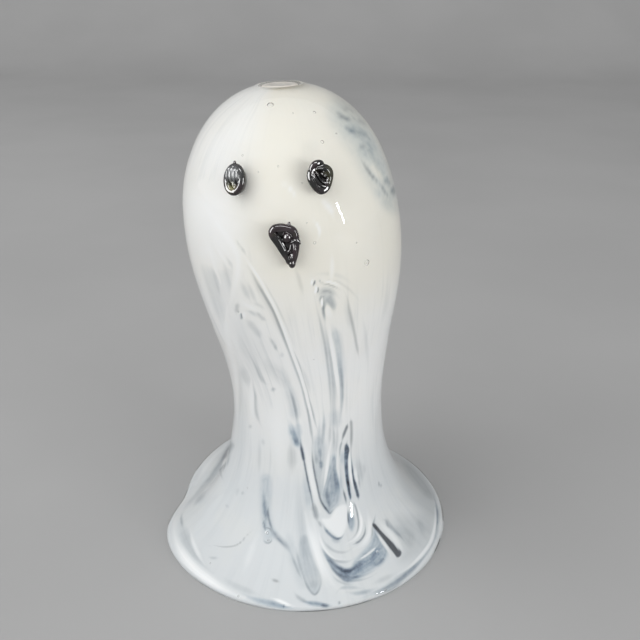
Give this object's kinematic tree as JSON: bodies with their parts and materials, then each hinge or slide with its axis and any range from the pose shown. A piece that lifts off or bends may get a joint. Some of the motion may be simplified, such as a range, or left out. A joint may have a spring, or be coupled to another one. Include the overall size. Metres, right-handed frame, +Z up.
{
  "type": "glass ghost figure",
  "caption": "Free-standing blown-glass ghost with a domed head, a flared skirt open underneath, swirled white glass under clear, and black glass eyes and mouth.",
  "frame": {"origin": "middle of the figure's box, on the surface that it stands on", "axes": "+Z up, face towards -Y, +X to the right of someone who looks at the face"},
  "size_m": [0.0974, 0.1, 0.1501],
  "materials": {
    "opal_glass": "glossy white opal glass with thin blue-grey swirls",
    "clear_glass": "fire-polished clear glass",
    "black_glass": "fire-polished black glass with purple and olive tints"
  },
  "bodies": {
    "root": {"opal_core": "opal_glass", "clear_casing": "clear_glass", "pontil_scar": "clear_glass", "left_eye": "black_glass", "right_eye": "black_glass", "mouth": "black_glass"}
  },
  "joints": []
}
